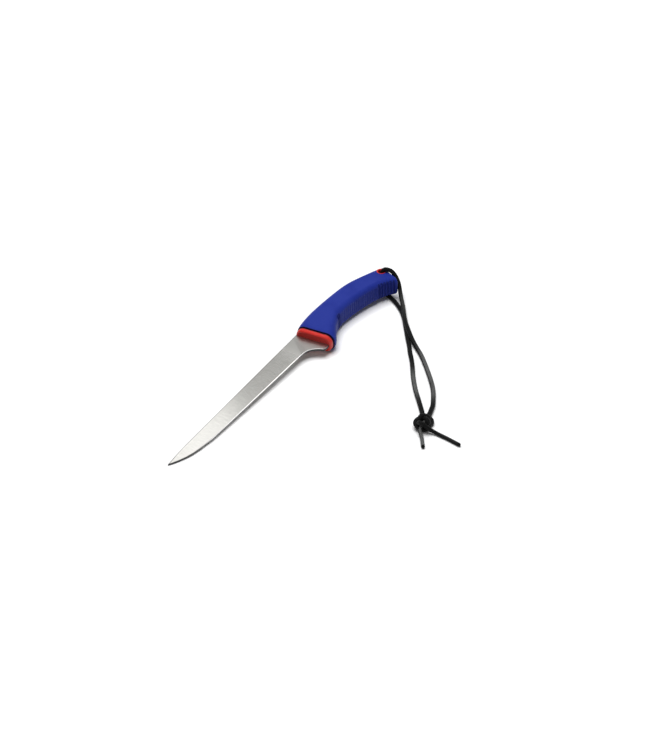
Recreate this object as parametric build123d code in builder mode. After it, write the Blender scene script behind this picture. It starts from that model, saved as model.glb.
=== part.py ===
from build123d import *

import math
import os

# Blade
blade_length = 187.0
blade_stock = 2.0
blade_depth = 18.3
tip_thickness = 1.3
edge_thickness = 0.5
tip_drop = 1.3
ricasso_inset = 6.0
ricasso_flat = 3.2
choil_radius = 16.5
toe_radius = 3.0
plunge_front = 20.0
plunge_back = 5.0
plunge_run = 7.0

# The edge's upsweep: reach back from the tip, and depth below the spine
upsweep_reach_shares = (0.0134, 0.043, 0.075, 0.111, 0.150, 0.198, 0.305)
upsweep_depth_shares = (0.175, 0.335, 0.48, 0.59, 0.66, 0.725, 0.79)
upsweep_start = (1.0, -0.85)
spine_fall_share = 0.16

# Tang inside the handle
tang_seat = 2.0
tang_length_share = 0.73
tang_root_top_share = 0.105
tang_root_width_share = 0.316
tang_end_top_share = 0.316
tang_end_width_share = 0.211
tang_hole_diameter = 5.0
tang_hole_shares = (0.24, 0.54, 0.84)

# Handle as a whole
handle_length = 120.6
guard_height = 38.0
palm_thickness = 20.0
plug_projection = 5.0
front_setback = 2.0
grip_wall = 2.6
core_end_gap = 5.0
core_end_inset = 4.6

# Stations of the grip from the seam to the butt, each from a place on the spine to one on the belly
spine_reach_shares = (0.0, 0.043, 0.103, 0.173, 0.260, 0.390, 0.528, 0.666, 0.787, 0.878, 0.947, 1.0)
spine_rise_shares = (
    0.036, 0.058, 0.066, 0.063, 0.047, 0.016, -0.026, -0.095, -0.216, -0.318, -0.403, -0.484
)
belly_reach_shares = (0.0, 0.055, 0.102, 0.160, 0.243, 0.359, 0.485, 0.601, 0.706, 0.787, 0.848, 0.895)
belly_rise_shares = (
    -0.910, -0.888, -0.808, -0.708, -0.613, -0.574, -0.618, -0.684, -0.768, -0.866, -0.984, -1.132
)
thickness_shares = (0.850, 0.888, 0.925, 0.963, 0.990, 1.0, 1.0, 0.985, 0.958, 0.928, 0.900, 0.862)
corner_shares = (0.44, 0.42, 0.38, 0.34, 0.31, 0.29, 0.28, 0.28, 0.28, 0.29, 0.30, 0.31)
butt_rounding = 2.0

# Ribs moulded across the spine and the belly of the grip
rib_pitch = 3.0
rib_groove_radius = 1.3
rib_groove_depth = 0.6
belly_rib_start_share = 0.27
spine_rib_start_share = 0.33
rib_end_gap = 3.7

# Front plug of the core
plug_inset = 0.9
plug_rounding = 1.8
seam_groove = 0.6
neck_inset = 1.7
neck_length = 3.0

# Eyelet for the lanyard
eyelet_end_gap = 8.8
eyelet_drop = 22.6
eyelet_bore = 6.0
eyelet_wall = 1.2
eyelet_proud = 0.25
eyelet_rounding = 0.8
eyelet_thickness_share = 0.91

# Lanyard
cord_diameter = 3.6
floor_gap = 0.1
cord_rise = 11.6
bend_share = 0.45

# Free strands from the eyelet to the knot: forward, sideways and up from the footprint's middle
upper_strand = (
    (147.6, -9.6, 24.9),
    (149.0, -14.2, 20.3),
    (146.9, -19.0, 15.3),
    (144.9, -21.4, 11.3),
    (141.5, -24.1, 8.1),
    (136.2, -27.9, 6.1),
    (127.8, -34.0, 5.7),
    (119.1, -39.4, 5.7),
    (110.0, -44.9, 5.75),
    (101.6, -51.0, 5.7),
    (94.3, -57.2, 5.35),
    (85.6, -65.0, 4.15),
    (78.4, -73.3, 2.4),
    (71.4, -81.2, 1.9),
    (58.8, -92.0, 1.9),
    (45.1, -102.9, 1.9),
    (35.6, -109.9, 1.9),
    (26.4, -115.2, 1.9),
    (15.8, -119.9, 1.9),
    (2.0, -124.2, 2.2),
)
lower_strand = (
    (141.4, -9.8, 1.9),
    (138.2, -16.8, 1.9),
    (132.6, -24.9, 1.9),
    (125.0, -33.6, 1.9),
    (115.1, -41.9, 1.9),
    (106.2, -47.6, 1.9),
    (96.8, -53.7, 1.9),
    (86.5, -60.4, 1.9),
    (77.8, -66.5, 1.9),
    (70.2, -70.9, 1.9),
    (61.0, -77.4, 1.9),
    (51.9, -82.9, 1.9),
    (40.2, -89.3, 1.9),
    (24.5, -99.6, 1.9),
    (14.8, -107.3, 1.9),
    (5.9, -115.0, 1.9),
    (-0.4, -120.8, 2.2),
)
short_tail = ((-22.2, -130.6, 2.0), (-29.5, -134.2, 1.9), (-38.6, -139.5, 1.9))
long_tail = ((-16.4, -137.2, 2.0), (-18.7, -150.5, 1.9), (-21.3, -163.4, 1.9))

# Knot: its middle, the way it points, and its slices as place along it, width and height
knot_middle = (-12.5, -126.0)
knot_heading = (-0.87, -0.49)
knot_places = (-12.0, -8.5, -4.0, 1.0, 5.5, 9.0)
knot_widths = (7.6, 10.6, 14.4, 16.0, 13.0, 8.0)
knot_heights = (4.0, 6.6, 8.8, 9.6, 8.4, 4.6)
knot_side_steps = (2.6, 1.4, 0.4, 0.0, 0.8, 1.6)
stub_length = 6.0

# The knife lies on its side, on its tip and on the front of the grip's flat cheek
rest_reach = 26.0
rest_thickness_share = 0.970

cut_overrun = 5.0
radius_match = 0.01

lie_angle = math.degrees(
    math.asin(
        (palm_thickness * rest_thickness_share - tip_thickness) / 2 / (blade_length + rest_reach)
    )
)
lie = math.radians(lie_angle)
footprint_middle = (spine_rise_shares[2] + belly_rise_shares[-1]) / 2 * guard_height
knife = Plane(
    origin=(
        (blade_length - handle_length) / 2 * math.cos(lie),
        -footprint_middle,
        tip_thickness / 2 + blade_length * math.sin(lie),
    ),
    x_dir=(math.cos(lie), 0, math.sin(lie)),
    z_dir=(-math.sin(lie), 0, math.cos(lie)),
)
grip_length = handle_length - plug_projection
eyelet_reach = handle_length - eyelet_end_gap
tang_length = tang_length_share * handle_length
tang_root_top = tang_root_top_share * guard_height
tang_root_width = tang_root_width_share * guard_height
tang_end_top = tang_end_top_share * guard_height
tang_end_width = tang_end_width_share * guard_height
ricasso_depth = guard_height - ricasso_inset


def knife_place(reach, rise, side=0.0):
    """Place of a point given along the blade, towards the spine and out of the blade's flat."""
    return knife.from_local_coords(Vector(reach, rise, side))


def knife_way(reach, rise, side=0.0):
    """Direction given in the same three measures."""
    return knife.x_dir * reach + knife.y_dir * rise + knife.z_dir * side


def spine_point(index):
    """Reach and rise of a station's end on the spine."""
    return (
        plug_projection + spine_reach_shares[index] * grip_length,
        spine_rise_shares[index] * guard_height,
    )


def belly_point(index):
    """Reach and rise of a station's end on the belly; the first lies back by the seam's slant."""
    setback = front_setback if index == 0 else 0
    return (
        plug_projection + setback + belly_reach_shares[index] * grip_length,
        belly_rise_shares[index] * guard_height,
    )


def station_plane(index, shift=0.0):
    """Plane of a station, with its X towards the spine, moved along the handle by shift."""
    spine = Vector(*spine_point(index))
    belly = Vector(*belly_point(index))
    across = (spine - belly).normalized()
    middle = (spine + belly) / 2
    along = Vector(across.Y, -across.X)
    middle = middle + along * shift
    return Plane(
        origin=knife_place(middle.X, middle.Y),
        x_dir=knife_way(across.X, across.Y),
        z_dir=knife_way(along.X, along.Y),
    )


def station_size(index, inset=0.0):
    """Height, thickness and corner radius of a station's outline, drawn in by inset."""
    height = (Vector(*spine_point(index)) - Vector(*belly_point(index))).length
    thickness = palm_thickness * thickness_shares[index]
    corner = thickness * corner_shares[index]
    scale = (thickness - 2 * inset) / thickness
    return height - 2 * inset, thickness - 2 * inset, corner * scale


def groove_places(points, start_share):
    """Centres of the rib grooves along a line through the points, just outside the surface."""
    line = Spline(*points)
    middle = Vector(handle_length / 2, -guard_height / 2)
    first = start_share * line.length
    count = int((line.length - rib_end_gap - first) / rib_pitch)
    places = []
    for step in range(count + 1):
        share = (first + step * rib_pitch) / line.length
        place = line.position_at(share)
        heading = line.tangent_at(share)
        outward = Vector(heading.Y, -heading.X)
        if outward.dot(place - middle) < 0:
            outward = outward * -1
        places.append(place + outward * (rib_groove_radius - rib_groove_depth))
    return places


def bend_radii(route):
    """Radius of each bend of a cord's route: as large as its two runs allow."""
    radii = []
    for before, corner, after in zip(route, route[1:], route[2:]):
        arrive = corner - before
        leave = after - corner
        half_turn = math.radians(arrive.get_angle(leave)) / 2
        radii.append(bend_share * min(arrive.length, leave.length) / math.tan(half_turn))
    return radii


def cord_piece(name, route):
    """Round cord along a route of straight runs joined by tangent arcs."""
    radii = bend_radii(route)
    with BuildPart() as cord:
        with BuildLine():
            path = FilletPolyline(*route, radius=radii)
        with BuildSketch(Plane(origin=route[0], z_dir=route[1] - route[0])):
            Circle(cord_diameter / 2)
        sweep(path=path, transition=Transition.ROUND)
    cord.part.label = name
    share = cord.part.volume / (math.pi * cord_diameter**2 / 4 * path.length)
    print(name, "length", round(path.length, 1), "volume share", round(share, 4))
    print("  bend radii", [round(radius, 1) for radius in radii])
    return cord.part


stations = range(len(spine_reach_shares))
belly_grooves = groove_places([belly_point(index) for index in stations], belly_rib_start_share)
spine_grooves = groove_places([spine_point(index) for index in stations], spine_rib_start_share)

# Blade with its tang: one piece of sheet
choil_turn = math.degrees(math.acos(1 - (ricasso_depth - blade_depth) / (choil_radius + toe_radius)))
choil_start = ricasso_flat + (choil_radius + toe_radius) * math.sin(math.radians(choil_turn))
upsweep = [
    (-blade_length * (1 - reach), -blade_depth * depth)
    for reach, depth in zip(upsweep_reach_shares, upsweep_depth_shares)
]
heel = Vector(-choil_start, -blade_depth)
edge_way = (heel - Vector(*upsweep[-1])).normalized()
grind_along = (blade_stock - tip_thickness) / 2 / blade_length
grind_across = (blade_stock - edge_thickness) / 2 / blade_depth
ground_half = blade_stock / 2 - grind_across * blade_depth - grind_along * plunge_front
plunge_slant = (plunge_front - plunge_back) / blade_depth
ramp_reach = 1 + cut_overrun / blade_depth
tang_end_radius = tang_end_width / 2
tang_turn = tang_length - tang_end_radius
tang_middle_root = -(tang_root_top + tang_root_width / 2)
tang_middle_end = -(tang_end_top + tang_end_width / 2)

with BuildPart() as blade:
    with BuildSketch(knife):
        with BuildLine():
            spine_end = (-blade_length * (1 - spine_fall_share), 0)
            tip = (-blade_length, -tip_drop)
            Polyline((tang_seat, -tang_root_top), (tang_seat, 0), spine_end)
            TangentArc(spine_end, tip, tangent=(-1, 0))
            Spline(tip, *upsweep, tangents=(upsweep_start, edge_way))
            Line(upsweep[-1], heel)
            choil = JernArc(start=heel, tangent=(1, 0), radius=choil_radius, arc_size=-choil_turn)
            toe = JernArc(start=choil @ 1, tangent=choil % 1, radius=toe_radius, arc_size=choil_turn)
            Polyline(
                toe @ 1,
                (tang_seat + front_setback, -ricasso_depth),
                (tang_seat + front_setback / 2, -tang_root_top - tang_root_width),
                (tang_turn, -tang_end_top - tang_end_width),
            )
            ThreePointArc(
                (tang_turn, -tang_end_top - tang_end_width),
                (tang_length, tang_middle_end),
                (tang_turn, -tang_end_top),
            )
            Line((tang_turn, -tang_end_top), (tang_seat, -tang_root_top))
        make_face()
        with Locations(
            *[
                (
                    tang_seat + share * (tang_turn - tang_seat),
                    tang_middle_root + share * (tang_middle_end - tang_middle_root),
                )
                for share in tang_hole_shares
            ]
        ):
            Circle(tang_hole_diameter / 2, mode=Mode.SUBTRACT)
    extrude(amount=blade_stock / 2, both=True)

    # Flat grind on each cheek, thinner towards the edge and towards the tip, with a ramp at its back
    for side in (1, -1):
        cheek = Plane(
            origin=knife_place(0, 0, side * blade_stock / 2),
            x_dir=knife_way(1, 0, side * grind_along),
            z_dir=knife_way(-grind_along, -grind_across, side),
        )
        with BuildSketch(cheek):
            with BuildLine():
                Polyline(
                    (-plunge_back + plunge_slant * cut_overrun, side * cut_overrun),
                    (-plunge_front - plunge_slant * cut_overrun, side * (-blade_depth - cut_overrun)),
                    (-blade_length - cut_overrun, side * (-blade_depth - cut_overrun)),
                    (-blade_length - cut_overrun, side * cut_overrun),
                    close=True,
                )
            make_face()
        extrude(amount=blade_stock, mode=Mode.SUBTRACT)
        ramp_top = knife_place(-plunge_back, 0, side * (blade_stock / 2 - grind_along * plunge_back))
        ramp_foot = knife_place(-plunge_front, -blade_depth, side * ground_half)
        ramp_back = knife_place(-plunge_front + plunge_run, -blade_depth, side * blade_stock / 2)
        down = ramp_top + (ramp_foot - ramp_top) * ramp_reach
        behind = ramp_top + (ramp_back - ramp_top) * ramp_reach
        ramp_up = (down - ramp_top).cross(behind - ramp_top) * side
        ramp = Plane(origin=ramp_top, x_dir=down - ramp_top, z_dir=ramp_up)
        with BuildSketch(ramp):
            with BuildLine():
                Polyline(*[ramp.to_local_coords(point) for point in (ramp_top, down, behind)], close=True)
            make_face()
        extrude(amount=blade_stock, mode=Mode.SUBTRACT)
blade.part.label = "blade"

# Body of the core before the blade is cast into it
with BuildPart() as core_body:
    for index in stations[:-1]:
        height, thickness, corner = station_size(index, grip_wall)
        with BuildSketch(station_plane(index)):
            RectangleRounded(height, thickness, corner)
    height, thickness, corner = station_size(stations[-1], core_end_inset)
    with BuildSketch(station_plane(stations[-1], -core_end_gap)):
        RectangleRounded(height, thickness, corner)
    loft()
    height, thickness, corner = station_size(0, plug_inset)
    with BuildSketch(station_plane(0, -plug_projection)):
        RectangleRounded(height, thickness, corner)
    extrude(amount=plug_projection - seam_groove)
    front_face = core_body.faces().sort_by(Axis(knife.origin, knife.x_dir))[0]
    fillet(front_face.edges(), radius=plug_rounding)
    height, thickness, corner = station_size(0, neck_inset)
    with BuildSketch(station_plane(0, -seam_groove)):
        RectangleRounded(height, thickness, corner)
    extrude(amount=seam_groove + neck_length)
    boss_thickness = palm_thickness * eyelet_thickness_share + 2 * eyelet_proud
    with BuildSketch(knife):
        with Locations((eyelet_reach, -eyelet_drop)):
            Circle(eyelet_bore / 2 + eyelet_wall)
    extrude(amount=boss_thickness / 2, both=True)

# Core: hard plastic, with the front plug and the lining of the lanyard hole
with BuildPart() as handle_core:
    add(core_body.part)
    with BuildSketch(knife):
        with Locations((eyelet_reach, -eyelet_drop)):
            Circle(eyelet_bore / 2)
    extrude(amount=palm_thickness, both=True, mode=Mode.SUBTRACT)
    mouths = handle_core.edges().filter_by(GeomType.CIRCLE).filter_by(
        lambda edge: abs(edge.radius - eyelet_bore / 2) < radius_match
    )
    fillet(mouths, radius=eyelet_rounding)
    add(blade.part, mode=Mode.SUBTRACT)
handle_core.part.label = "handle_core"

# Grip: soft plastic moulded over the core
with BuildPart() as grip:
    for index in stations:
        height, thickness, corner = station_size(index)
        with BuildSketch(station_plane(index)):
            RectangleRounded(height, thickness, corner)
    loft()
    butt_face = grip.faces().sort_by(Axis(knife.origin, knife.x_dir))[-1]
    fillet(butt_face.edges(), radius=butt_rounding)
    with BuildSketch(knife):
        with Locations(*belly_grooves, *spine_grooves):
            Circle(rib_groove_radius)
    extrude(amount=palm_thickness, both=True, mode=Mode.SUBTRACT)
    add(core_body.part, mode=Mode.SUBTRACT)
    with BuildSketch(knife):
        with Locations((eyelet_reach, -eyelet_drop)):
            Circle(eyelet_bore / 2 + eyelet_wall)
    extrude(amount=palm_thickness, both=True, mode=Mode.SUBTRACT)
grip.part.label = "grip"

# Lanyard strands: both start in the middle of the eyelet's bore, where they meet face to face
eyelet_middle = knife_place(eyelet_reach, -eyelet_drop)
upper_route = [eyelet_middle, eyelet_middle + knife_way(0, 0, cord_rise)]
upper_route += [Vector(*point) for point in upper_strand]
floor_drop = (eyelet_middle.Z - cord_diameter / 2 - floor_gap) / knife.z_dir.Z
lower_route = [eyelet_middle, eyelet_middle - knife_way(0, 0, floor_drop)]
lower_route += [Vector(*point) for point in lower_strand]
short_route = [Vector(*point) for point in short_tail]
long_route = [Vector(*point) for point in long_tail]
lanyard_upper = cord_piece("lanyard_upper", upper_route)
lanyard_lower = cord_piece("lanyard_lower", lower_route)
lanyard_short_tail = cord_piece("lanyard_short_tail", short_route)
lanyard_long_tail = cord_piece("lanyard_long_tail", long_route)

# Knot: one lump drawn through its slices, with a stub of cord reaching out to each strand and tail
knot_way = Vector(*knot_heading).normalized()
knot_side = Vector(-knot_way.Y, knot_way.X)
knot_mouths = (
    (upper_route[-1], upper_route[-1] - upper_route[-2]),
    (lower_route[-1], lower_route[-1] - lower_route[-2]),
    (short_route[0], short_route[0] - short_route[1]),
    (long_route[0], long_route[0] - long_route[1]),
)
with BuildPart() as lanyard_knot:
    for place, width, height, step in zip(knot_places, knot_widths, knot_heights, knot_side_steps):
        middle = Vector(*knot_middle) + knot_way * place + knot_side * step
        slice_plane = Plane(
            origin=(middle.X, middle.Y, floor_gap + height / 2),
            x_dir=knot_side,
            z_dir=knot_way,
        )
        with BuildSketch(slice_plane):
            Ellipse(width / 2, height / 2)
    loft()
    for mouth, inward in knot_mouths:
        with BuildSketch(Plane(origin=mouth, z_dir=inward)):
            Circle(cord_diameter / 2)
        extrude(amount=stub_length)
lanyard_knot.part.label = "lanyard_knot"

os.makedirs("parts", exist_ok=True)
export_step(blade.part, "parts/blade.step")
export_step(handle_core.part, "parts/handle_core.step")
export_step(grip.part, "parts/grip.step")
export_step(lanyard_upper, "parts/lanyard_upper.step")
export_step(lanyard_lower, "parts/lanyard_lower.step")
export_step(lanyard_knot.part, "parts/lanyard_knot.step")
export_step(lanyard_short_tail, "parts/lanyard_short_tail.step")
export_step(lanyard_long_tail, "parts/lanyard_long_tail.step")
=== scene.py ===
"""A fillet knife with a two-colour moulded handle and a knotted cord lanyard, lying on a pale table."""

import logging
import math
from dataclasses import dataclass
from enum import Enum

import bpy
import numpy as np
from bpy.types import Material, Mesh, Node, NodeSocket, NodeTree, Object
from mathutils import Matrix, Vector


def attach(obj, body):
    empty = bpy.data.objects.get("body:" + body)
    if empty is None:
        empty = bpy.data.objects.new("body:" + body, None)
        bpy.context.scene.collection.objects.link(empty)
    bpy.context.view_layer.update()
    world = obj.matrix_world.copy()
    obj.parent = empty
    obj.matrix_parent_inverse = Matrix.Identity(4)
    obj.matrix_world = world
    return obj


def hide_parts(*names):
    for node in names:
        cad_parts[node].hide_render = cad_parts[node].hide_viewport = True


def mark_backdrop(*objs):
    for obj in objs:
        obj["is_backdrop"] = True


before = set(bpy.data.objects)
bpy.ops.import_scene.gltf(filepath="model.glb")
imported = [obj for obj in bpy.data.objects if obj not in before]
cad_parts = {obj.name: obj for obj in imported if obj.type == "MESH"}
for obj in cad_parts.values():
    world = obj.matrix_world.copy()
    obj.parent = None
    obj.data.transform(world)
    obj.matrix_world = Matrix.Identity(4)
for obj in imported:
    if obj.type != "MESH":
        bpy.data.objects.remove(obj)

LOG = logging.getLogger("fillet_knife")
BODY = "root"

Point = tuple[float, float, float]
Colour = tuple[float, float, float, float]
Span = tuple[float, float]
Sockets = dict[str | int, object]
Route = tuple[Point, ...]
ACROSS: Point = (0.0, 1.0, 0.0)
UP: Point = (0.0, 0.0, 1.0)
BLACK: Colour = (0.0, 0.0, 0.0, 1.0)
WHITE: Colour = (1.0, 1.0, 1.0, 1.0)
MIX_FIRST, MIX_SECOND, MIX_RESULT = 6, 7, 2  # Sockets of a Mix node that mixes colours

# Control points of the lanyard's two halves, from the middle of the eyelet's bore to the free ends
LONG_ROUTE: Route = (
    (0.1449, -0.0024, 0.01335),
    (0.1444, -0.0024, 0.02494),
    (0.1476, -0.0096, 0.02490),
    (0.1490, -0.0142, 0.02030),
    (0.1469, -0.0190, 0.01530),
    (0.1449, -0.0214, 0.01130),
    (0.1415, -0.0241, 0.00810),
    (0.1362, -0.0279, 0.00610),
    (0.1278, -0.0340, 0.00570),
    (0.1191, -0.0394, 0.00570),
    (0.1100, -0.0449, 0.00575),
    (0.1016, -0.0510, 0.00570),
    (0.0943, -0.0572, 0.00535),
    (0.0856, -0.0650, 0.00415),
    (0.0784, -0.0733, 0.00240),
    (0.0714, -0.0812, 0.00210),
    (0.0588, -0.0920, 0.00210),
    (0.0451, -0.1029, 0.00210),
    (0.0356, -0.1099, 0.00210),
    (0.0264, -0.1152, 0.00210),
    (0.0135, -0.1212, 0.00210),
    (0.0112, -0.1218, 0.00210),
    (0.0068, -0.1228, 0.00213),
    (0.0022, -0.1240, 0.00210),
    (-0.0022, -0.1242, 0.00228),
    (-0.0073, -0.1243, 0.00210),
    (-0.0102, -0.1255, 0.00471),
    (-0.0118, -0.1301, 0.00593),
    (-0.0153, -0.1317, 0.00220),
    (-0.0191, -0.1291, 0.00210),
    (-0.0206, -0.1247, 0.00380),
    (-0.0180, -0.1208, 0.00490),
    (-0.0131, -0.1202, 0.00512),
    (-0.0094, -0.1230, 0.00574),
    (-0.0054, -0.1254, 0.00536),
    (-0.0048, -0.1296, 0.00210),
    (-0.0093, -0.1311, 0.00223),
    (-0.0139, -0.1287, 0.00210),
    (-0.0159, -0.1260, 0.00292),
    (-0.0185, -0.1239, 0.00722),
    (-0.0210, -0.1276, 0.00944),
    (-0.0194, -0.1315, 0.00647),
    (-0.0179, -0.1346, 0.00363),
    (-0.0173, -0.1391, 0.00214),
    (-0.0178, -0.1437, 0.00180),
    (-0.0184, -0.1482, 0.00170),
    (-0.0187, -0.1505, 0.00165),
    (-0.0211, -0.1621, 0.00165),
)
SHORT_ROUTE: Route = (
    (0.1449, -0.0024, 0.01335),
    (0.1454, -0.0024, 0.00210),
    (0.1414, -0.0098, 0.00210),
    (0.1382, -0.0168, 0.00210),
    (0.1326, -0.0249, 0.00210),
    (0.1250, -0.0336, 0.00210),
    (0.1151, -0.0419, 0.00210),
    (0.1062, -0.0476, 0.00210),
    (0.0968, -0.0537, 0.00210),
    (0.0865, -0.0604, 0.00210),
    (0.0778, -0.0665, 0.00210),
    (0.0702, -0.0709, 0.00210),
    (0.0610, -0.0774, 0.00210),
    (0.0519, -0.0829, 0.00210),
    (0.0402, -0.0893, 0.00210),
    (0.0245, -0.0996, 0.00210),
    (0.0148, -0.1073, 0.00210),
    (0.0009, -0.1178, 0.00210),
    (-0.0012, -0.1190, 0.00210),
    (-0.0054, -0.1204, 0.00231),
    (-0.0101, -0.1219, 0.00210),
    (-0.0130, -0.1237, 0.00419),
    (-0.0118, -0.1264, 0.00859),
    (-0.0144, -0.1312, 0.00810),
    (-0.0168, -0.1297, 0.00442),
    (-0.0189, -0.1257, 0.00210),
    (-0.0156, -0.1228, 0.00217),
    (-0.0150, -0.1231, 0.00752),
    (-0.0110, -0.1224, 0.00855),
    (-0.0079, -0.1274, 0.00770),
    (-0.0079, -0.1286, 0.00308),
    (-0.0122, -0.1260, 0.00210),
    (-0.0142, -0.1275, 0.00666),
    (-0.0184, -0.1280, 0.00719),
    (-0.0225, -0.1277, 0.00471),
    (-0.0239, -0.1284, 0.00343),
    (-0.0275, -0.1319, 0.00200),
    (-0.0327, -0.1351, 0.00170),
    (-0.0383, -0.1386, 0.00165),
)


class Gloss(Enum):
    """Roughness of each smooth kind of surface."""

    SOFT_GRIP = 0.56
    HARD_CORE = 0.34
    TABLE = 0.9


class Value:
    """A number carried by a shader socket, on which Python's operators add Math nodes."""

    def __init__(self, graph: "Graph", socket: NodeSocket) -> None:
        """Wrap an output that carries the number, in its finish's tree."""
        self.graph = graph
        self.socket = socket

    def math(self, operation: str, *inputs: "Value | float") -> "Value":
        """Add one Math node.

        Args:
            operation: The Math node's operation.
            inputs: Its inputs in order, as values or plain numbers.

        Returns:
            The node's result.
        """
        sockets = dict(enumerate(inputs or (self,)))
        node = self.graph.node("ShaderNodeMath", {"operation": operation}, sockets)
        return Value(self.graph, node.outputs[0])

    def __add__(self, other: "Value | float") -> "Value":
        """Sum."""
        return self.math("ADD", self, other)

    def __radd__(self, other: float) -> "Value":
        """Sum with a number on the left."""
        return self.math("ADD", other, self)

    def __sub__(self, other: "Value | float") -> "Value":
        """Difference."""
        return self.math("SUBTRACT", self, other)

    def __rsub__(self, other: float) -> "Value":
        """Difference from a number on the left."""
        return self.math("SUBTRACT", other, self)

    def __mul__(self, other: "Value | float") -> "Value":
        """Product."""
        return self.math("MULTIPLY", self, other)

    def __rmul__(self, other: float) -> "Value":
        """Product with a number on the left."""
        return self.math("MULTIPLY", other, self)

    def least(self, other: "Value | float") -> "Value":
        """The smaller of two numbers."""
        return self.math("MINIMUM", self, other)

    def greatest(self, other: "Value | float") -> "Value":
        """The larger of two numbers."""
        return self.math("MAXIMUM", self, other)

    def ramp(self, low: float, high: float) -> "Value":
        """Rise smoothly from 0 to 1, or fall where high is below low.

        Args:
            low: Where the result is 0.
            high: Where the result is 1.

        Returns:
            The result, held between 0 and 1.
        """
        sockets = {"Value": self, "From Min": low, "From Max": high, "To Min": 0.0, "To Max": 1.0}
        node = self.graph.node("ShaderNodeMapRange", {"interpolation_type": "SMOOTHSTEP"}, sockets)
        return Value(self.graph, node.outputs["Result"])


class Graph:
    """The node tree of one finish."""

    def __init__(self, tree: NodeTree) -> None:
        """Empty the tree of a material or of the world, and take it over."""
        self.tree = tree
        tree.nodes.clear()

    def node(
        self, kind: str, settings: dict[str, object] | None = None, sockets: Sockets | None = None
    ) -> Node:
        """Add one node of any type.

        Args:
            kind: The node's type.
            settings: Its own properties, set before its sockets.
            sockets: Numbers, colours, values, nodes or output sockets by input name or number.

        Returns:
            The new node.
        """
        node = self.tree.nodes.new(kind)
        for name, setting in (settings or {}).items():
            setattr(node, name, setting)
        for key, given in (sockets or {}).items():
            if isinstance(given, Value):
                given = given.socket
            elif isinstance(given, Node):
                given = given.outputs[MIX_RESULT if given.type == "MIX" else 0]
            if isinstance(given, NodeSocket):
                self.tree.links.new(given, node.inputs[key])
            else:
                node.inputs[key].default_value = given
        return node

    def noise(self, coordinates: NodeSocket, scale: float, detail: float) -> Value:
        """Smooth noise between about 0.3 and 0.7, with this many features in a unit and finer layers."""
        sockets = {"Vector": coordinates, "Scale": scale, "Detail": detail}
        return Value(self, self.node("ShaderNodeTexNoise", None, sockets).outputs["Fac"])

    def stretched(self, coordinates: NodeSocket, scale: Point) -> NodeSocket:
        """Coordinates drawn out by a different factor along each axis."""
        node = self.node("ShaderNodeMapping", None, {"Vector": coordinates, "Scale": scale})
        return node.outputs["Vector"]

    def dot(self, coordinates: NodeSocket, way: Point) -> Value:
        """How far coordinates reach along a direction of length 1."""
        node = self.node("ShaderNodeVectorMath", {"operation": "DOT_PRODUCT"}, {0: coordinates, 1: way})
        return Value(self, node.outputs["Value"])

    def blend(self, share: Value, first: Colour | Node, second: Colour | Node) -> Node:
        """Node that mixes two colours, by the share of the second."""
        sockets = {0: share, MIX_FIRST: first, MIX_SECOND: second}
        return self.node("ShaderNodeMix", {"data_type": "RGBA"}, sockets)

    def attribute(self, name: str) -> Value:
        """A number that the mesh carries under this name."""
        return Value(self, self.node("ShaderNodeAttribute", {"attribute_name": name}).outputs["Fac"])

    def vector(self, operation: str, sockets: Sockets) -> NodeSocket:
        """Result of one Vector Math node with this operation and these inputs."""
        return self.node("ShaderNodeVectorMath", {"operation": operation}, sockets).outputs[0]

    def bump(self, height: Value, strength: float, distance: float, normal: NodeSocket | None = None) -> Node:
        """A relief from a height.

        Args:
            height: The height, where 1 is the distance.
            strength: How much of it shows.
            distance: The relief's depth in metres.
            normal: The normals under the relief, where they aren't the surface's own.

        Returns:
            The Bump node.
        """
        sockets = {"Height": height, "Strength": strength, "Distance": distance}
        if normal is not None:
            sockets["Normal"] = normal
        return self.node("ShaderNodeBump", None, sockets)

    def close(self, sockets: Sockets) -> None:
        """End the tree in a Principled shader with these sockets."""
        shader = self.node("ShaderNodeBsdfPrincipled", None, sockets)
        self.node("ShaderNodeOutputMaterial", None, {"Surface": shader.outputs["BSDF"]})


def new_material(name: str) -> tuple[Material, Graph]:
    """Start a material.

    Args:
        name: Its name.

    Returns:
        The material and its empty tree.
    """
    material = bpy.data.materials.new(name)
    material.use_nodes = True
    return material, Graph(material.node_tree)


@dataclass(frozen=True)
class KnifePlace:
    """Places on the knife: how far along it from the handle's front, and how far above the spine.

    Attributes:
        origin: Where the blade's spine meets the handle.
        lie: Angle in degrees at which the blade falls towards its tip.
    """

    origin: Point = (0.033170, 0.020254, 0.008595)
    lie: float = 2.4351

    @property
    def along(self) -> Point:
        """Direction from the tip to the butt."""
        tilt = math.radians(self.lie)
        return (math.cos(tilt), 0.0, math.sin(tilt))

    def measure(self, graph: Graph, place: NodeSocket) -> tuple[Value, Value]:
        """Reach towards the butt and rise above the spine.

        Args:
            graph: The tree that they are for.
            place: The surface's place in the frame.

        Returns:
            The reach and the rise in metres.
        """
        start = sum(a * b for a, b in zip(self.origin, self.along))
        reach = graph.dot(place, self.along) - start
        return reach, graph.dot(place, ACROSS) - self.origin[1]


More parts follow.
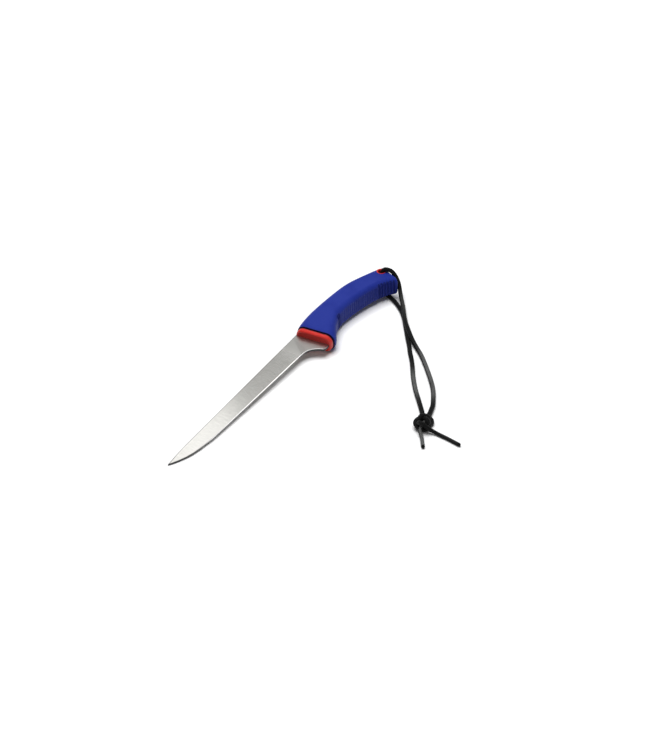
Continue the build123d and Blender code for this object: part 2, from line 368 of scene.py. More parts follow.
@dataclass(frozen=True)
class MouldedPlastic:
    """Coloured plastic with the fine grain of its mould, and painted shade as a dark line at the handle's
    seam.

    Attributes:
        name: The material's name.
        colour: Its colour in plain light.
        worn: Its colour where hands have polished it.
        gloss: How dull it is.
        grain_size: Size of the mould's grain in metres.
        grain_depth: Depth of the grain in metres.
        specular: Strength of its mirror-like light, where 0.5 is plain plastic.
        seam: Where the painted shade line starts and ends, as distances behind the seam between core and
            grip.
        seam_shade: Colour of the painted shade line.
        seam_reach: Reach of the seam at the spine.
        seam_slant: How much further back the seam lies for each metre below the spine.
        line_blur: Half the width over which the painted shade line fades at each side.
        cloud_scale: Patches in a metre of the uneven shine and wear.
        wear_range: Noise from which wear starts, and at which it is full.
        wear_share: How much of the worn colour shows where wear is full.
        pit_scale: Number of the coarser pits against that of the grain.
        pit_share: Share of the relief that the pits have.
        cloud_dullness: How much rougher the patches are; below zero they are smoother.
        grain_dullness: How much rougher the grain's crests are.
    """

    name: str
    colour: Colour
    worn: Colour
    gloss: Gloss
    grain_size: float
    grain_depth: float
    specular: float
    seam: Span
    seam_shade: Colour
    seam_reach: float = 0.0050
    seam_slant: float = 0.0526
    line_blur: float = 0.0002
    cloud_scale: float = 38.0
    wear_range: Span = (0.42, 0.62)
    wear_share: float = 0.55
    pit_scale: float = 0.37
    pit_share: float = 0.3
    cloud_dullness: float = -0.22
    grain_dullness: float = 0.16

    def build(self) -> Material:
        """Make the material.

        Returns:
            The new material.
        """
        material, graph = new_material(self.name)
        place = graph.node("ShaderNodeTexCoord").outputs["Object"]
        cloudy = graph.noise(place, self.cloud_scale, 4.0)
        grain = graph.noise(place, 1.0 / self.grain_size, 3.0)
        pits = graph.noise(place, self.pit_scale / self.grain_size, 1.0)
        wear = cloudy.ramp(*self.wear_range)
        relief = grain * (1.0 - self.pit_share) + pits * self.pit_share
        reach, rise = KnifePlace().measure(graph, place)
        # Painted shade: a dark line in the colour along the seam between core and grip.
        behind = reach + rise * self.seam_slant - self.seam_reach
        first, last = self.seam
        started = behind.ramp(first - self.line_blur, first + self.line_blur)
        line = started * behind.ramp(last + self.line_blur, last - self.line_blur)
        colour = graph.blend(wear * self.wear_share, self.colour, self.worn)
        unevenness = (cloudy - 0.5) * self.cloud_dullness + (grain - 0.5) * self.grain_dullness
        graph.close(
            {
                "Base Color": graph.blend(line, colour, self.seam_shade),
                "Roughness": unevenness + self.gloss.value,
                "Normal": graph.bump(relief, 0.55, self.grain_depth),
                "Specular IOR Level": self.specular,
            }
        )
        return material


@dataclass(frozen=True)
class GroundSteel:
    """Satin stainless steel, ground across the blade, with a honed bevel along its edge.

    Attributes:
        name: The material's name.
        outline: The cutting edge, as reach and rise from the origin, from the heel to the tip.
        bevel_width: Width of the honed bevel.
        bevel_blur: Share of that width over which it fades, each way.
        bevel_end: Reaches between which the bevel ends behind the choil.
        choil_middle: Middle of the hollow behind the heel, as reach and rise.
        choil_radius: Radius of that hollow.
        heel_blur: Half the length over which the hollow takes over from the edge.
        spine_shade_width: Width of the painted shade along the spine.
        spine_shade_blur: Share of that width over which it fades, each way.
        fall_start: Distance from the handle at which the spine starts to fall to the tip.
        fall_run: Length over which it falls.
        tip_fall: How far it falls.
        near: Reaches between which the steel turns duller towards the handle, and darker there as painted
            shade.
        side_turn: Upward parts of a normal between which a cheek turns into a cut side.
        scratches: Grinding lines in a metre, along each axis of the frame.
        hairlines: The same for finer grinding lines.
        cloud_scale: Patches in a metre of the uneven shine.
        line_range: Noise between which the satin goes from its grooves to its crests.
        fine_share: Share of the grinding lines' relief that the finer ones have.
        line_height: Height of the grinding lines, where 1 is the relief's depth.
        bevel_height: Height of the bevel's slope in the same measure.
        grooves: The satin's colour in its grinding lines.
        crests: Its colour between them.
        shade_near_handle: Its colour close to the handle, darker as painted shade.
        bevel_heel: The bevel's colour by the heel, a painted highlight.
        bevel_middle: Its colour towards the tip, a weaker painted highlight.
        bevel_tip: Its colour at the tip, painted shade.
        middle_fade: Reaches between which the bevel turns to its second colour.
        tip_fade: Reaches between which it turns to its third.
        spine_shade: Colour of the painted shade along the spine.
        sides: Colour of the cut sides, near black as painted shade.
        dullness: Roughness of the satin.
        near_dullness: How much rougher it is close to the handle.
        line_dullness: How much rougher it is on its crests than in its grinding lines.
        cloud_dullness: How much rougher its patches are.
    """

    name: str = "ground_steel"
    outline: tuple[Span, ...] = (
        (-0.0200, -0.01830),
        (-0.1300, -0.01446),
        (-0.1500, -0.01327),
        (-0.1590, -0.01208),
        (-0.1662, -0.01080),
        (-0.1730, -0.00878),
        (-0.1790, -0.00613),
        (-0.1845, -0.00320),
        (-0.1870, -0.00130),
    )
    bevel_width: float = 0.0007
    bevel_blur: float = 0.15
    bevel_end: Span = (-0.0035, -0.0060)
    choil_middle: Span = (-0.0218, -0.0348)
    choil_radius: float = 0.0165
    heel_blur: float = 0.0001
    spine_shade_width: float = 0.00045
    spine_shade_blur: float = 0.25
    fall_start: float = 0.1571
    fall_run: float = 0.0299
    tip_fall: float = 0.0013
    near: Span = (-0.036, -0.010)
    side_turn: Span = (0.8, 0.5)
    scratches: Point = (5200.0, 190.0, 900.0)
    hairlines: Point = (13000.0, 420.0, 2600.0)
    cloud_scale: float = 55.0
    line_range: Span = (0.32, 0.70)
    fine_share: float = 0.4
    line_height: float = 0.006
    bevel_height: float = 0.6
    grooves: Colour = (0.630, 0.622, 0.592, 1.0)
    crests: Colour = (0.760, 0.752, 0.718, 1.0)
    shade_near_handle: Colour = (0.515, 0.509, 0.486, 1.0)
    bevel_heel: Colour = (0.98, 0.98, 0.97, 1.0)
    bevel_middle: Colour = (0.80, 0.80, 0.79, 1.0)
    bevel_tip: Colour = (0.15, 0.15, 0.15, 1.0)
    middle_fade: Span = (-0.03, -0.13)
    tip_fade: Span = (-0.140, -0.170)
    spine_shade: Colour = (0.24, 0.238, 0.232, 1.0)
    sides: Colour = (0.045, 0.045, 0.047, 1.0)
    dullness: float = 0.155
    near_dullness: float = 0.22
    line_dullness: float = 0.06
    cloud_dullness: float = 0.02

    def edge_distance(self, reach: Value, rise: Value) -> Value:
        """Distance from the cutting edge, or from the choil behind it, into the blade.

        Args:
            reach: Reach of the place.
            rise: Its rise.

        Returns:
            The distance in metres.
        """
        nearest = None
        for (reach_a, rise_a), (reach_b, rise_b) in zip(self.outline, self.outline[1:]):
            length = math.hypot(reach_b - reach_a, rise_b - rise_a)
            inward = ((rise_b - rise_a) / length, -(reach_b - reach_a) / length)
            offset = reach_a * inward[0] + rise_a * inward[1]
            distance = reach * inward[0] + rise * inward[1] - offset
            nearest = distance if nearest is None else nearest.least(distance)
        middle_reach, middle_rise = self.choil_middle
        back, down = reach - middle_reach, rise - middle_rise
        round_choil = (back * back + down * down).math("SQRT") - self.choil_radius
        behind_heel = reach.ramp(middle_reach - self.heel_blur, middle_reach + self.heel_blur)
        return nearest + (round_choil - nearest) * behind_heel

    def spine_shade_share(self, reach: Value, rise: Value) -> Value:
        """Share of the painted shade along the spine.

        Args:
            reach: Reach of the place.
            rise: Its rise.

        Returns:
            The share, from 0 on the cheek to 1 at the spine.
        """
        past = (reach * -1.0 - self.fall_start).ramp(0.0, self.fall_run)
        below = rise * -1.0 - past * past * self.tip_fall
        blur = self.spine_shade_width * self.spine_shade_blur
        return below.ramp(self.spine_shade_width + blur, self.spine_shade_width - blur)

    def levelled(self, graph: Graph, normal: NodeSocket, along: Point, sides: Value) -> NodeSocket:
        """The cheeks' normals without their lean along the knife, for an even shine over the plunge.

        Args:
            graph: The material's tree.
            normal: The surface's own normals.
            along: Direction from the tip to the butt.
            sides: Share of the cut sides, which keep their own normals.

        Returns:
            The new normals.
        """
        lean = graph.dot(normal, along) * (1.0 - sides) * -1.0
        back = graph.vector("SCALE", {0: along, "Scale": lean})
        return graph.vector("NORMALIZE", {0: graph.vector("ADD", {0: normal, 1: back})})

    def build(self) -> Material:
        """Make the material.

        Returns:
            The new material.
        """
        material, graph = new_material(self.name)
        place = graph.node("ShaderNodeTexCoord").outputs["Object"]
        normal = graph.node("ShaderNodeNewGeometry").outputs["Normal"]
        reach, rise = KnifePlace().measure(graph, place)
        distance = self.edge_distance(reach, rise)
        # Share of the cut sides, which get a near-black colour as painted shade.
        sides = graph.dot(normal, UP).math("ABSOLUTE").ramp(*self.side_turn)
        blur = self.bevel_width * self.bevel_blur
        honed = distance.ramp(self.bevel_width + blur, self.bevel_width - blur) * reach.ramp(*self.bevel_end)
        bevel = honed * (1.0 - sides)
        near = reach.ramp(*self.near)
        lines = graph.noise(graph.stretched(place, self.scratches), 1.0, 3.0)
        fine = graph.noise(graph.stretched(place, self.hairlines), 1.0, 1.0)
        cloudy = graph.noise(place, self.cloud_scale, 3.0)
        satin = graph.blend(lines.ramp(*self.line_range), self.grooves, self.crests)
        # Painted shade: the steel's colour darkens towards the handle.
        satin = graph.blend(near, satin, self.shade_near_handle)
        # Painted highlight and shade on the bevel: near white by the heel, fading to dark at the tip.
        bevel_light_and_shade = graph.blend(reach.ramp(*self.middle_fade), self.bevel_heel, self.bevel_middle)
        bevel_light_and_shade = graph.blend(reach.ramp(*self.tip_fade), bevel_light_and_shade, self.bevel_tip)
        # Painted shade: a dark band in the colour along the spine, following its fall to the tip.
        ground = graph.blend(self.spine_shade_share(reach, rise), graph.blend(bevel, satin, bevel_light_and_shade), self.spine_shade)
        slope = distance * (1.0 / self.bevel_width) * honed + (1.0 - honed)
        ground_lines = (lines * (1.0 - self.fine_share) + fine * self.fine_share) * (1.0 - bevel)
        relief = ground_lines * self.line_height + slope.least(1.0) * self.bevel_height
        level = self.levelled(graph, normal, KnifePlace().along, sides)
        unevenness = (lines - 0.5) * self.line_dullness + (cloudy - 0.5) * self.cloud_dullness
        graph.close(
            {
                "Base Color": graph.blend(sides, ground, self.sides),
                "Metallic": 1.0,
                "Roughness": unevenness + near * self.near_dullness + self.dullness,
                "Normal": graph.bump(relief, 0.5, self.bevel_width * 0.5, level),
            }
        )
        return material


@dataclass(frozen=True)
class BraidedNylon:
    """Black braided cord: painted shade between its yarns, lighter on their crowns, a painted sheen on its
    upper side, melted at its ends.

    Attributes:
        name: The material's name.
        crown: The yarns' colour on their crowns.
        sheened: That colour where a painted sheen lights the cord's upper side.
        gap: The colour between the yarns, painted shade.
        melted: The ends' colour.
        fibre_scale: How the fibres' noise is drawn out along the cord, round it and across.
        patch_scale: How the patches' noise is drawn out in the same way.
        gap_range: Height of the braid up to which it is a gap, and from which it is a crown.
        crown_light: How light the crowns are, before the fibres and patches.
        fibre_light: How much the fibres change that.
        patch_base: Number added to the patches' noise, which makes about 1 of its middle.
        facing: Upward parts of a normal between which the painted sheen starts on the cord.
        sheen_patches: How much the patches change the painted sheen, and how much of it there is without
            them.
        gloss: Roughness of the fibres.
        fibre_dullness: How much rougher the paler fibres are.
        melt_gloss: Share of the roughness that melting takes away.
        fibre_depth: Depth of the fibres' relief in metres.
        specular: Strength of its mirror-like light, where 0.5 is plain plastic.
    """

    name: str = "braided_nylon"
    crown: Colour = (0.008, 0.0083, 0.0083, 1.0)
    sheened: Colour = (0.150, 0.152, 0.150, 1.0)
    gap: Colour = (0.002, 0.002, 0.002, 1.0)
    melted: Colour = (0.004, 0.004, 0.004, 1.0)
    fibre_scale: Point = (3.2, 42.0, 1.0)
    patch_scale: Point = (0.35, 1.0, 1.0)
    gap_range: Span = (0.15, 0.95)
    crown_light: float = 0.85
    fibre_light: float = 0.5
    patch_base: float = 0.55
    facing: Span = (0.35, 0.95)
    sheen_patches: Span = (0.8, 0.6)
    gloss: float = 0.5
    fibre_dullness: float = 0.3
    melt_gloss: float = 0.5
    fibre_depth: float = 0.00012
    specular: float = 0.10

    def build(self) -> Material:
        """Make the material from the cord's own UV map and its three attributes.

        Returns:
            The new material.
        """
        material, graph = new_material(self.name)
        uv = graph.node("ShaderNodeUVMap", {"uv_map": "UVMap"}).outputs["UV"]
        yarn, melt, painted_sheen = (graph.attribute(name) for name in ("yarn", "melt", "painted_sheen"))
        up = graph.dot(graph.node("ShaderNodeNewGeometry").outputs["Normal"], UP)
        fibres = graph.noise(graph.stretched(uv, self.fibre_scale), 6.0, 2.0)
        patches = graph.noise(graph.stretched(uv, self.patch_scale), 1.3, 3.0)
        light = yarn.ramp(*self.gap_range) * self.crown_light + (fibres - 0.5) * self.fibre_light
        shade = light * (patches + self.patch_base)
        change, evenly = self.sheen_patches
        # Painted sheen: a lighter colour on the cord's upper side along the given stretches.
        pale = (painted_sheen * up.ramp(*self.facing) * (patches * change + evenly)).ramp(0.0, 1.0)
        raised = graph.blend(pale, self.crown, self.sheened)
        # Painted shade: the colour darkens in the gaps between the yarns.
        colour = graph.blend(shade.ramp(0.0, 1.0), self.gap, raised)
        dullness = (fibres - 0.5) * self.fibre_dullness + self.gloss
        graph.close(
            {
                "Base Color": graph.blend(melt, colour, self.melted),
                "Roughness": dullness * (1.0 - melt * self.melt_gloss),
                "Normal": graph.bump(fibres * (1.0 - melt), 0.6, self.fibre_depth),
                "Specular IOR Level": self.specular,
            }
        )
        return material


@dataclass(frozen=True)
class PaleTable:
    """Matt white board whose lit parts show white to the camera and which keeps the shadows.

    Attributes:
        name: The material's name.
        colour: The board's colour.
        lift: Light that it gives off everywhere, as the camera and glossy surfaces see it.
        bright_from: Distance from the object at which it starts to give off more.
        bright_by: Distance at which it is white by itself.
    """

    name: str = "pale_table"
    colour: Colour = (0.90, 0.90, 0.905, 1.0)
    lift: float = 0.02
    bright_from: float = 0.25
    bright_by: float = 0.80

    def build(self) -> Material:
        """Make the material.

        Returns:
            The new material.
        """
        material, graph = new_material(self.name)
        sockets = {"Base Color": self.colour, "Roughness": Gloss.TABLE.value, "Specular IOR Level": 0.0}
        board = graph.node("ShaderNodeBsdfPrincipled", None, sockets)
        ray = graph.node("ShaderNodeLightPath")
        seen = Value(graph, ray.outputs["Is Camera Ray"]).greatest(Value(graph, ray.outputs["Is Glossy Ray"]))
        place = graph.node("ShaderNodeNewGeometry").outputs["Position"]
        flat = graph.vector("MULTIPLY", {0: place, 1: (1.0, 1.0, 0.0)})
        length = graph.node("ShaderNodeVectorMath", {"operation": "LENGTH"}, {0: flat}).outputs["Value"]
        away = Value(graph, length).ramp(self.bright_from, self.bright_by)
        glow = graph.blend(seen * (away + self.lift), BLACK, WHITE)
        lamp = graph.node("ShaderNodeEmission", None, {"Color": glow})
        both = graph.node("ShaderNodeAddShader", None, {0: board, 1: lamp})
        graph.node("ShaderNodeOutputMaterial", None, {"Surface": both})
        return material


@dataclass(frozen=True)
class SoftBox:
    """One square soft lamp.

    Attributes:
        name: The lamp's name.
        place: Its middle.
        aim: The point that it faces.
        size: Its side.
        power: Its power in watts.
        mirrored: Whether glossy surfaces show it.
    """

    name: str
    place: Point
    aim: Point
    size: float
    power: float
    mirrored: bool = True

    def build(self) -> None:
        """Add the lamp to the scene."""
        light = bpy.data.lights.new(self.name, "AREA")
        light.shape = "SQUARE"
        light.size = self.size
        light.energy = self.power
        lamp = bpy.data.objects.new(self.name, light)
        lamp.visible_glossy = self.mirrored
        lamp.location = self.place
        facing = Vector(self.aim) - Vector(self.place)
        lamp.rotation_euler = facing.to_track_quat("-Z", "Y").to_euler()
        bpy.context.scene.collection.objects.link(lamp)


@dataclass
class Studio:
    """Camera at the photograph's view, soft lamps and the table.

    Attributes:
        target: The point that the middle of the picture shows.
        azimuth: Camera's direction round the object in degrees, from the front.
        elevation: Camera's height in degrees.
        distance: Camera's distance.
        lens: Focal length in millimetres on a sensor of 36 mm along the picture's height.
        table_size: Side of the table's board.
        fill: Strength of the light that comes from all round.
        gloss_fill: Strength of the surroundings that glossy surfaces reflect.
        boxes: The soft lamps: one overhead, then those that the blade's cheek and its bevel reflect.
    """

    target: Point = (0.00738, -0.02403, 0.0)
    azimuth: float = -59.464
    elevation: float = 36.0
    distance: float = 1.030
    lens: float = 59.32
    table_size: float = 8.0
    fill: float = 0.12
    gloss_fill: float = 0.5
    boxes: tuple[SoftBox, ...] = (
        SoftBox("sky_box", (0.06, 0.14, 1.45), (0.0, -0.02, 0.0), 1.2, 28.0, mirrored=False),
        SoftBox("blade_box", (0.345, 0.515, 0.76), (-0.08, 0.01, 0.0), 0.38, 0.255),
        SoftBox("tip_box", (0.375, 0.290, 0.71), (-0.12, 0.01, 0.0), 0.272, 0.09),
        SoftBox("edge_box", (0.74, 0.22, 0.69), (-0.02, 0.0, 0.0), 0.19, 0.09),
        SoftBox("edge_box_far", (0.51, 0.205, 0.69), (-0.12, 0.0, 0.0), 0.19, 0.14),
    )

    def place_camera(self) -> None:
        """Set the scene's camera."""
        turn, rise = math.radians(self.azimuth), math.radians(self.elevation)
        back = Vector((math.sin(turn) * math.cos(rise), -math.cos(turn) * math.cos(rise), math.sin(rise)))
        camera = bpy.data.objects.new("camera", bpy.data.cameras.new("camera"))
        camera.data.lens = self.lens
        camera.data.clip_start = 0.01
        camera.data.clip_end = 20.0
        camera.location = Vector(self.target) + back * self.distance
        camera.rotation_euler = (-back).to_track_quat("-Z", "Y").to_euler()
        bpy.context.scene.collection.objects.link(camera)
        bpy.context.scene.camera = camera

    def light_world(self) -> None:
        """Even light from all round, which the camera sees as white and gloss as pale grey."""
        world = bpy.data.worlds.new("studio")
        bpy.context.scene.world = world
        world.use_nodes = True
        graph = Graph(world.node_tree)
        ray = graph.node("ShaderNodeLightPath")
        camera = Value(graph, ray.outputs["Is Camera Ray"])
        gloss = Value(graph, ray.outputs["Is Glossy Ray"])
        strength = camera.greatest(gloss * self.gloss_fill).greatest(self.fill)
        sky = graph.node("ShaderNodeBackground", None, {"Color": WHITE, "Strength": strength})
        graph.node("ShaderNodeOutputWorld", None, {"Surface": sky})

    def lay_table(self) -> Object:
        """Make the table's board.

        Returns:
            Nothing, since mark_backdrop gives nothing back; the board is marked as stage.
        """
        bpy.ops.object.select_all(action="DESELECT")
        bpy.ops.mesh.primitive_plane_add(size=self.table_size, location=(0, 0, 0))
        board = bpy.context.object
        board.name = "table"
        board.data.materials.append(PaleTable().build())
        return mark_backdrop(board)

    def build(self) -> None:
        """Set the whole studio up."""
        self.place_camera()
        self.light_world()
        self.lay_table()
        for box in self.boxes:
            box.build()
        bpy.context.scene.view_settings.view_transform = "Standard"
        LOG.info("studio: camera, table and soft boxes")


@dataclass(frozen=True)
class CordHalf:
    """One half of the cord, from the middle of the eyelet's bore to a free end.

    Attributes:
        name: The piece's name.
        route: Its line's control points.
        exit_place: Where it leaves the handle; not used.
        nodes: The plain solids that it stands for.
        sheened: Stretches with a painted sheen, each as its middle, its spread and how strong it is.
    """

    name: str
    route: Route
    exit_place: Point
    nodes: tuple[str, ...]
    sheened: tuple[Point, ...]


LONG_HALF = CordHalf(
    name="lanyard_long_half",
    route=LONG_ROUTE,
    exit_place=(0.1445, -0.00235, 0.0227),
    nodes=("lanyard_upper", "lanyard_knot", "lanyard_long_tail"),
    sheened=((0.060, 0.020, 0.4), (0.152, 0.026, 1.2), (0.186, 0.012, 0.75), (0.318, 0.012, 0.35)),
)
SHORT_HALF = CordHalf(
    name="lanyard_short_half",
    route=SHORT_ROUTE,
    exit_place=(0.1453, -0.00235, 0.0040),
    nodes=("lanyard_lower", "lanyard_short_tail"),
    sheened=((0.152, 0.014, 0.7), (0.170, 0.012, 0.75), (0.280, 0.013, 2.4)),
)


@dataclass
class Lanyard:
    """One length of braided cord through the handle's eyelet, tied in a doubled overhand knot.

    Each half is a cord of its own from the middle of the eyelet's bore to a free end.

    Attributes:
        diameter: The cord's thickness over its crowns.
        yarns: Yarns that run each way round the cord.
        yarn_pitch: Distance along the cord from one yarn to the next.
        relief: Height of the crowns over the gaps.
        ring_step: Distance between the mesh's rings.
        ring_sides: Sides of each ring.
        crossing: How much a yarn's height depends on whether it lies over or under another.
        melt_length: Length over which the melting fades, from the hard end on.
        hard_end: Length of each end that is melted through.
        lumps: How uneven the melted cord is, against its radius.
        cap_length: Length over which each end rounds off.
        cap_floor: Least square of the last ring's share of the radius, so that it isn't a point.
        swell: How much thicker the melted end is, as a share.
        swell_place: Distance from the end at which it is thickest.
        swell_spread: Length over which that fades.
        tail_share: Thickness of the free ends against the rest.
        tail_length: Length of each end over which it is thinner.
        thinning: Length over which the thickness changes.
        spline_detail: Points read from the line for each of its control points.
        path_rings: Rings of the mesh for each point of a path; not used.
    """

    diameter: float = 0.0040
    yarns: int = 6
    yarn_pitch: float = 0.0017
    relief: float = 0.00026
    ring_step: float = 0.00040
    ring_sides: int = 30
    crossing: float = 0.45
    melt_length: float = 0.0022
    hard_end: float = 0.0008
    lumps: float = 0.03
    cap_length: float = 0.0013
    cap_floor: float = 0.02
    swell: float = 0.06
    swell_place: float = 0.0014
    swell_spread: float = 0.0010
    tail_share: float = 0.76
    tail_length: float = 0.034
    thinning: float = 0.010
    spline_detail: int = 12
    path_rings: int = 3

    @staticmethod
    def travelled(points: np.ndarray) -> np.ndarray:
        """Distance along a line at each of its points."""
        return np.concatenate(([0.0], np.cumsum(np.linalg.norm(np.diff(points, axis=0), axis=1))))

    def centreline(self, name: str, route: Route) -> np.ndarray:
        """Points of the route's smooth line, evenly spaced.

        Args:
            name: Name for the line while it is read.
            route: Its control points.

        Returns:
            The points, a row each.
        """
        curve = bpy.data.curves.new(name, "CURVE")
        curve.dimensions = "3D"
        curve.resolution_u = self.spline_detail
        spline = curve.splines.new("NURBS")
        spline.points.add(len(route) - 1)
        for control, place in zip(spline.points, route):
            control.co = (*place, 1.0)
        spline.order_u = 3
        spline.use_endpoint_u = True
        line = bpy.data.objects.new(name, curve)
        mesh = bpy.data.meshes.new_from_object(line)
        points = np.array([vertex.co for vertex in mesh.vertices])
        bpy.data.meshes.remove(mesh)
        bpy.data.objects.remove(line)
        bpy.data.curves.remove(curve)
        travel = self.travelled(points)
        places = np.linspace(0.0, travel[-1], int(round(travel[-1] / self.ring_step)) + 1)
        return np.stack([np.interp(places, travel, points[:, axis]) for axis in range(3)], axis=1)

    @staticmethod
    def frames(line: np.ndarray) -> tuple[np.ndarray, np.ndarray]:
        """Two directions across the line at each point, carried along it without twist.

        Args:
            line: The line's points, a row each.

        Returns:
            The first and the second direction, a row for each point.
        """
        way = np.gradient(line, axis=0)
        way /= np.linalg.norm(way, axis=1)[:, None]
        first = np.zeros_like(line)
        slanted = (0.31, 0.52, 0.79)  # Any direction that the line doesn't start in
        across = np.cross(way[0], slanted)
        for index, heading in enumerate(way):
            across = across - heading * float(across @ heading)
            across /= np.linalg.norm(across)
            first[index] = across
        return first, np.cross(way, first)

    def braid_height(self, travel: np.ndarray, turn: np.ndarray) -> np.ndarray:
        """Height of the braid's surface, from 0 in its gaps to 1 on its crowns.

        Args:
            travel: Distance along the cord at each vertex.
            turn: Place round the cord at each vertex, from 0 to 1.

        Returns:
            The height at each vertex.
        """
        one = self.yarns * turn + travel / self.yarn_pitch
        other = self.yarns * turn - travel / self.yarn_pitch
        over = np.where((np.floor(one) + np.floor(other)) % 2 == 0, 1.0, -1.0)
        round_one = np.cos(np.pi * (one % 1.0 - 0.5))
        round_other = np.cos(np.pi * (other % 1.0 - 0.5))
        own, lift = 1.0 - self.crossing, self.crossing * over
        upper = np.maximum(own * round_one + lift * round_other, own * round_other - lift * round_one)
        return np.clip(upper, 0.0, 1.0)

    def thickness(self, left: np.ndarray) -> np.ndarray:
        """How thick the cord is at each ring against its full thickness.

        Args:
            left: Distance from each ring to the free end.

        Returns:
            The share, which falls along the tail, swells where the end is melted and closes at the end.
        """
        inwards = np.clip(1.0 - left / self.cap_length, 0.0, 1.0)
        cap = np.sqrt(np.clip(1.0 - inwards**2, self.cap_floor, 1.0))
        swell = 1.0 + self.swell * np.exp(-(((left - self.swell_place) / self.swell_spread) ** 2))
        thinned = np.clip((self.tail_length - left) / self.thinning, 0.0, 1.0)
        return cap * swell * (1.0 - (1.0 - self.tail_share) * thinned)

    @staticmethod
    def skin(count: int, sides: int) -> list[tuple[int, ...]]:
        """Faces of a closed tube.

        Args:
            count: How many rings it has.
            sides: Sides of each ring; the rings' points are followed by one for each end.

        Returns:
            The faces: each ring's row of quads, then the fans that close the two ends.
        """
        following = [(side + 1) % sides for side in range(sides)]
        faces: list[tuple[int, ...]] = [
            (start + side, start + after, start + sides + after, start + sides + side)
            for start in range(0, (count - 1) * sides, sides)
            for side, after in enumerate(following)
        ]
        end, last = count * sides, (count - 1) * sides
        faces += [(after, side, end) for side, after in enumerate(following)]
        faces += [(last + side, last + after, end + 1) for side, after in enumerate(following)]
        return faces

    def tube(
        self, line: np.ndarray, turn: np.ndarray, height: np.ndarray, melt: np.ndarray, left: np.ndarray
    ) -> np.ndarray:
        """Vertices of the cord's surface.

        Args:
            line: Points of its middle line.
            turn: Place round the cord at each ring's vertices, from 0 to 1.
            height: The braid's height there.
            melt: How melted each ring is.
            left: Distance from each ring to the free end.

        Returns:
            The vertices, ring after ring, then one for each end.
        """
        first, second = self.frames(line)
        angle = 2 * np.pi * turn
        lumps = self.lumps * np.sin(2 * angle + 1.3) * melt[:, None]
        radius = self.diameter / 2 * (1.0 + lumps) - self.relief * (1.0 - height)
        radius *= self.thickness(left)[:, None]
        rings = (
            line[:, None, :]
            + first[:, None, :] * (np.cos(angle) * radius)[:, :, None]
            + second[:, None, :] * (np.sin(angle) * radius)[:, :, None]
        )
        return np.concatenate((rings.reshape(-1, 3), line[:1], line[-1:]))

    def build_half(self, half: CordHalf, finish: Material) -> None:
        """Model one half of the cord.

        Args:
            half: Its route and places.
            finish: The cord's material.
        """
        line = self.centreline(half.name, half.route)
        travel = self.travelled(line)
        left = travel[-1] - travel
        melt = np.clip(1.0 - (left - self.hard_end) / self.melt_length, 0.0, 1.0) ** 1.5
        # Painted sheen along these stretches of the cord.
        sheen_amount = sum(
            amount * np.exp(-(((travel - middle) / spread) ** 2)) for middle, spread, amount in half.sheened
        )
        turns = np.arange(self.ring_sides) / self.ring_sides
        grid_travel, grid_turn = np.meshgrid(travel, turns, indexing="ij")
        height = self.braid_height(grid_travel, grid_turn) * (1.0 - melt[:, None])
        vertices = self.tube(line, grid_turn, height, melt, left)
        faces = self.skin(len(line), self.ring_sides)
        mesh = bpy.data.meshes.new(half.name)
        mesh.from_pydata(vertices.tolist(), [], faces)
        mesh.update()
        self.mark(mesh, height, melt, sheen_amount, travel)
        mesh.polygons.foreach_set("use_smooth", [True] * len(mesh.polygons))
        mesh.materials.append(finish)
        piece = bpy.data.objects.new(half.name, mesh)
        bpy.context.scene.collection.objects.link(piece)
        self.declare(piece, half)
        LOG.info("%s: %.0f mm of cord, %d faces", half.name, travel[-1] * 1000, len(faces))

    def declare(self, piece: Object, half: CordHalf) -> None:
        """Attach the piece to its body and hide the solids that it stands for.

        Args:
            piece: The finished piece.
            half: What it stands for.
        """
        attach(piece, BODY)
        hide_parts(*half.nodes)

    def mark(
        self, mesh: Mesh, height: np.ndarray, melt: np.ndarray, sheen_amount: np.ndarray, travel: np.ndarray
    ) -> None:
        """Give the mesh its UV map and the attributes that its finish reads.

        Args:
            mesh: The cord's mesh, ring after ring, with a point for each end.
            height: The braid's height at each ring's vertices.
            melt: How melted each ring is.
            sheen_amount: How much painted sheen each ring has.
            travel: Distance along the cord at each ring.
        """
        sides = self.ring_sides
        rings = len(travel)
        shown = np.concatenate((height.reshape(-1), (0.5, 0.5)))
        melted, sheened = (
            np.concatenate((np.repeat(each, sides), (each[0], each[-1]))) for each in (melt, sheen_amount)
        )
        for name, values in (("yarn", shown), ("melt", melted), ("painted_sheen", sheened)):
            attribute = mesh.attributes.new(name, "FLOAT", "POINT")
            attribute.data.foreach_set("value", values.astype(np.float32))
        corners = np.zeros(len(mesh.loops), dtype=np.int32)
        mesh.loops.foreach_get("vertex_index", corners)
        starts = np.zeros(len(mesh.polygons), dtype=np.int32)
        mesh.polygons.foreach_get("loop_start", starts)
        closing = starts[: (rings - 1) * sides][sides - 1 :: sides]
        wide = (corners % sides) / sides
        wide[np.concatenate((closing + 1, closing + 2))] = 1.0
        places = np.concatenate((np.repeat(travel, sides), (0.0, travel[-1])))
        along = places[corners] / (math.pi * self.diameter)
        layer = mesh.uv_layers.new(name="UVMap")
        layer.data.foreach_set("uv", np.stack((along, wide), axis=1).astype(np.float32).reshape(-1))

    def build(self) -> None:
        """Model both halves."""
        finish = BraidedNylon().build()
        for half in (LONG_HALF, SHORT_HALF):
            self.build_half(half, finish)


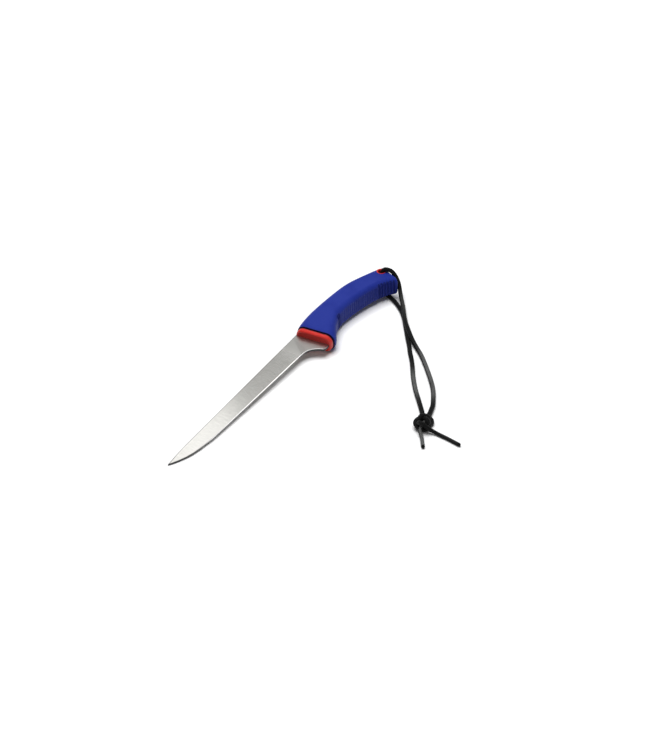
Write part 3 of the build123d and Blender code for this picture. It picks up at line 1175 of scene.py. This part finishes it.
RED_CORE = MouldedPlastic(
    name="red_core",
    colour=(0.52, 0.020, 0.014, 1.0),
    worn=(0.58, 0.035, 0.026, 1.0),
    gloss=Gloss.HARD_CORE,
    grain_size=0.0007,
    grain_depth=0.00003,
    specular=0.35,
    seam=(-0.0013, 0.0010),
    seam_shade=(0.035, 0.002, 0.008, 1.0),
)
BLUE_GRIP = MouldedPlastic(
    name="blue_grip",
    colour=(0.012, 0.024, 0.215, 1.0),
    worn=(0.018, 0.034, 0.26, 1.0),
    gloss=Gloss.SOFT_GRIP,
    grain_size=0.00055,
    grain_depth=0.00010,
    specular=0.16,
    seam=(-0.0010, 0.0004),
    seam_shade=(0.006, 0.003, 0.035, 1.0),
)


@dataclass
class Knife:
    """The rigid knife, whose solids keep their shape and get their finishes here.

    Attributes:
        blade: The blade's finish.
        core: The core's finish.
        grip: The grip's finish.
    """

    blade: GroundSteel = GroundSteel()
    core: MouldedPlastic = RED_CORE
    grip: MouldedPlastic = BLUE_GRIP

    def dress(self, node: str, material: Material) -> None:
        """Give a solid one finish all over.

        Args:
            node: The solid's name.
            material: The finish.
        """
        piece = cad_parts[node]
        for slot in piece.material_slots:
            slot.material = material
        if not piece.material_slots:
            piece.data.materials.append(material)
        LOG.info("%s: dressed in %s", node, material.name)

    def build(self) -> None:
        """Dress the blade, the core and the grip."""
        for node, finish in (("blade", self.blade), ("handle_core", self.core), ("grip", self.grip)):
            self.dress(node, finish.build())


def main() -> None:
    """Build the scene."""
    logging.basicConfig(level=logging.INFO, format="%(name)s: %(message)s")
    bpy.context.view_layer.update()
    Studio().build()
    Lanyard().build()
    Knife().build()


if __name__ == "__main__":
    main()
